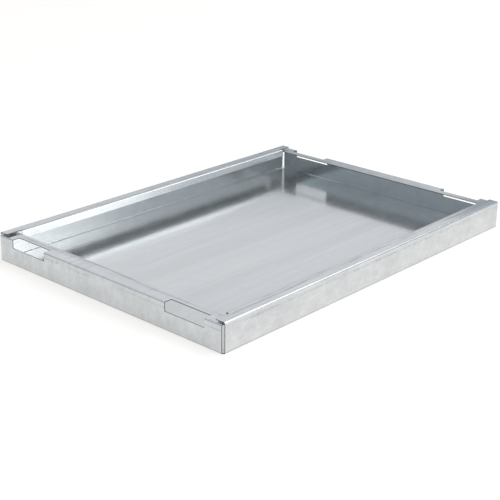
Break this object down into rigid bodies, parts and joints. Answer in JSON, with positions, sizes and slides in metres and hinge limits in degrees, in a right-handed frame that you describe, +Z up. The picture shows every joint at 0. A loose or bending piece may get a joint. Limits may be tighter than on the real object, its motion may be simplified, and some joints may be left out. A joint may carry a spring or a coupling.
{
  "type": "paint roller tray",
  "caption": "Shallow rectangular tray folded from galvanised sheet steel, with inward rims, open corners and windows cut through the folds of its short ends.",
  "frame": {"origin": "centre of the tray's underside, on the surface it stands on", "axes": "+X along the long walls, +Y across the tray towards the back wall, +Z up"},
  "size_m": [0.6, 0.43, 0.041],
  "materials": {
    "galvanised_sheet": "hot-dip galvanised sheet, satin, with a fine mottled spangle and faint rolling streaks"
  },
  "bodies": {
    "root": {"floor": "galvanised_sheet", "front_wall": "galvanised_sheet", "front_rim": "galvanised_sheet", "front_lip": "galvanised_sheet", "back_wall": "galvanised_sheet", "back_rim": "galvanised_sheet", "back_lip": "galvanised_sheet", "left_wall": "galvanised_sheet", "left_rim": "galvanised_sheet", "right_wall": "galvanised_sheet", "right_rim": "galvanised_sheet"}
  },
  "joints": []
}
